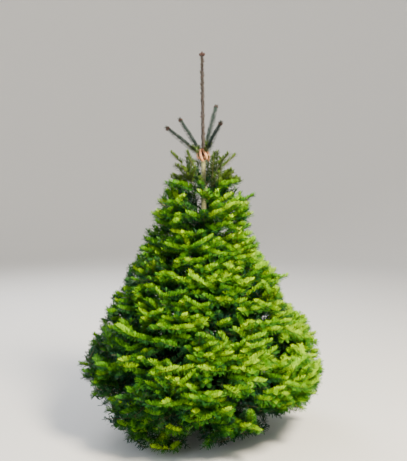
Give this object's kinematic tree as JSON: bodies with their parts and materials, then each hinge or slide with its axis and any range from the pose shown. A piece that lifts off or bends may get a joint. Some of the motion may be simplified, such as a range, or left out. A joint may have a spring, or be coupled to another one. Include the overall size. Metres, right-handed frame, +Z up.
{
  "type": "rooted fir tree",
  "caption": "Young conifer rooted in the ground: tapering trunk with a long bare leader, yearly whorls of boughs and dense masses of flat needles in a broad cone.",
  "frame": {"origin": "centre of the trunk's flat cut at ground level", "axes": "+Z up along the trunk, +Y away from the front of the tree, +X to the right seen from the front"},
  "size_m": [1.4009, 1.3892, 2.233],
  "materials": {
    "bark": "smooth young bark, grey-green on the trunk and pinkish brown on the leader and young shoots",
    "needles": "glossy flat needles, fresh yellow-green at the shoot ends and deep green inside",
    "buds": "small resinous buds, dark maroon brown",
    "marking_tape": "faded orange film, creased, with no print"
  },
  "bodies": {
    "root": {"trunk": "bark", "bough_7_1": "bark", "bough_7_2": "bark", "bough_7_3": "bark", "bough_7_4": "bark", "bough_7_5": "bark", "bough_8_1": "bark", "bough_8_2": "bark", "bough_8_3": "bark", "bough_8_4": "bark", "bough_8_5": "bark", "bough_9_1": "bark", "bough_9_2": "bark", "bough_9_3": "bark", "bough_9_4": "bark", "bough_9_5": "bark", "needles_1_1": "needles", "needles_1_2": "needles", "needles_1_3": "needles", "needles_1_4": "needles", "needles_2_1": "needles", "needles_2_2": "needles", "needles_2_3": "needles", "needles_2_4": "needles", "needles_2_5": "needles", "needles_3_1": "needles", "needles_3_2": "needles", "needles_3_3": "needles", "needles_3_4": "needles", "needles_3_5": "needles", "needles_4_1": "needles", "needles_4_2": "needles", "needles_4_3": "needles", "needles_4_4": "needles", "needles_4_5": "needles", "needles_5_1": "needles", "needles_5_2": "needles", "needles_5_3": "needles", "needles_5_4": "needles", "needles_5_5": "needles", "needles_6_1": "needles", "needles_6_2": "needles", "needles_6_3": "needles", "needles_6_4": "needles", "needles_6_5": "needles", "needles_7_1": "needles", "needles_7_2": "needles", "needles_7_3": "needles", "needles_7_4": "needles", "needles_7_5": "needles", "needles_8_1": "needles", "needles_8_2": "needles", "needles_8_3": "needles", "needles_8_4": "needles", "needles_8_5": "needles", "needles_9_1": "needles", "needles_9_2": "needles", "needles_9_3": "needles", "needles_9_4": "needles", "needles_9_5": "needles"}
  },
  "joints": []
}
